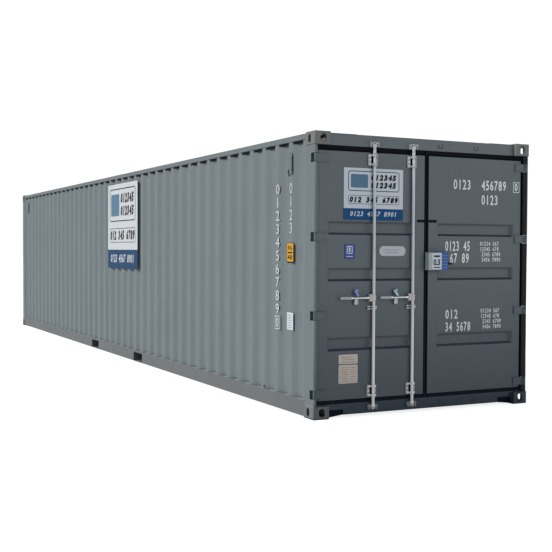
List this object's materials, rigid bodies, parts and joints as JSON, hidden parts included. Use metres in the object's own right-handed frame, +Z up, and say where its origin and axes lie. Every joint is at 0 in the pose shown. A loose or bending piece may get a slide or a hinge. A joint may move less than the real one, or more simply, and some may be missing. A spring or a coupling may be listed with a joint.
{
  "type": "shipping container",
  "caption": "Forty-foot dry freight container with corrugated steel walls, corner castings, a pressed roof, forklift pockets and two hinged rear doors with lock rods on one leaf",
  "frame": {"origin": "bottom centre of the bounding box: on the ground, on the middle plane, half way along", "axes": "+Z up, +Y towards the closed front end, so the doors are at -Y, +X to the right of someone who faces the doors"},
  "size_m": [2.438, 12.212, 2.591],
  "materials": {
    "grey_paint": "weathered semi-gloss marine paint",
    "gasket_rubber": "matt black rubber",
    "seam_rubber": "matt black rubber",
    "galvanised_steel": "dull hot-dip galvanised, with some rust",
    "catch_plate_steel": "dull galvanised, partly painted",
    "pin_steel": "dark worn steel",
    "floor_plywood": "worn sealed plywood",
    "lock_box_paint": "blue paint, scuffed",
    "vent_plastic": "grey moulding"
  },
  "bodies": {
    "container": {"bottom_castings": "grey_paint", "bottom_rail_left": "grey_paint", "bottom_rail_right": "grey_paint", "cam_keepers": "galvanised_steel", "cross_members": "grey_paint", "floor": "floor_plywood", "fork_pocket_decks": "grey_paint", "fork_pocket_sides": "grey_paint", "fork_pocket_straps": "grey_paint", "front_posts": "grey_paint", "front_sill": "grey_paint", "front_top_rail": "grey_paint", "front_wall": "grey_paint", "hinge_lugs": "grey_paint", "hinge_pins": "pin_steel", "post_channels": "grey_paint", "rear_header": "grey_paint", "rear_post_left": "grey_paint", "rear_post_right": "grey_paint", "rear_sill": "grey_paint", "roof_corner_plates": "grey_paint", "roof_end_sheets": "grey_paint", "roof_panel": "grey_paint", "side_wall_left": "grey_paint", "side_wall_right": "grey_paint", "tieback_rings": "grey_paint", "top_castings": "grey_paint", "top_rails": "grey_paint", "ventilators": "vent_plastic"},
    "left_door": {"left_door_frame": "grey_paint", "left_door_panel": "grey_paint", "left_door_gasket": "gasket_rubber", "left_hinge_blades": "grey_paint", "left_seam_strip": "seam_rubber", "rod_brackets": "galvanised_steel", "handle_catches": "catch_plate_steel"},
    "right_door": {"right_door_frame": "grey_paint", "right_door_panel": "grey_paint", "right_door_gasket": "gasket_rubber", "right_hinge_blades": "grey_paint", "right_seam_strip": "seam_rubber", "lock_box": "lock_box_paint", "lock_box_bolt": "galvanised_steel"},
    "outer_rod": {"outer_lock_rod": "galvanised_steel"},
    "inner_rod": {"inner_lock_rod": "galvanised_steel"},
    "outer_handle_bar": {"outer_handle": "galvanised_steel"},
    "inner_handle_bar": {"inner_handle": "galvanised_steel"}
  },
  "joints": [
    {"name": "left_door_swing", "type": "hinge", "parent": "container", "child": "left_door", "pos_m": [-1.2025, -6.0695, 1.29], "axis": [0, 0, -1], "range_deg": [0, 264]},
    {"name": "right_door_swing", "type": "hinge", "parent": "container", "child": "right_door", "pos_m": [1.2025, -6.0695, 1.29], "axis": [0, 0, 1], "range_deg": [0, 265]},
    {"name": "outer_rod_turn", "type": "hinge", "parent": "left_door", "child": "outer_rod", "pos_m": [-0.582, -6.069, 1.09], "axis": [0, 0, -1], "range_deg": [-110, 0]},
    {"name": "inner_rod_turn", "type": "hinge", "parent": "left_door", "child": "inner_rod", "pos_m": [-0.152, -6.069, 1.09], "axis": [0, 0, -1], "range_deg": [-110, 0]},
    {"name": "outer_handle_lift", "type": "hinge", "parent": "outer_rod", "child": "outer_handle_bar", "pos_m": [-0.62, -6.076, 1.09], "axis": [0, -1, 0], "range_deg": [-60, 0]},
    {"name": "inner_handle_lift", "type": "hinge", "parent": "inner_rod", "child": "inner_handle_bar", "pos_m": [-0.19, -6.076, 1.09], "axis": [0, -1, 0], "range_deg": [-60, 0]}
  ]
}
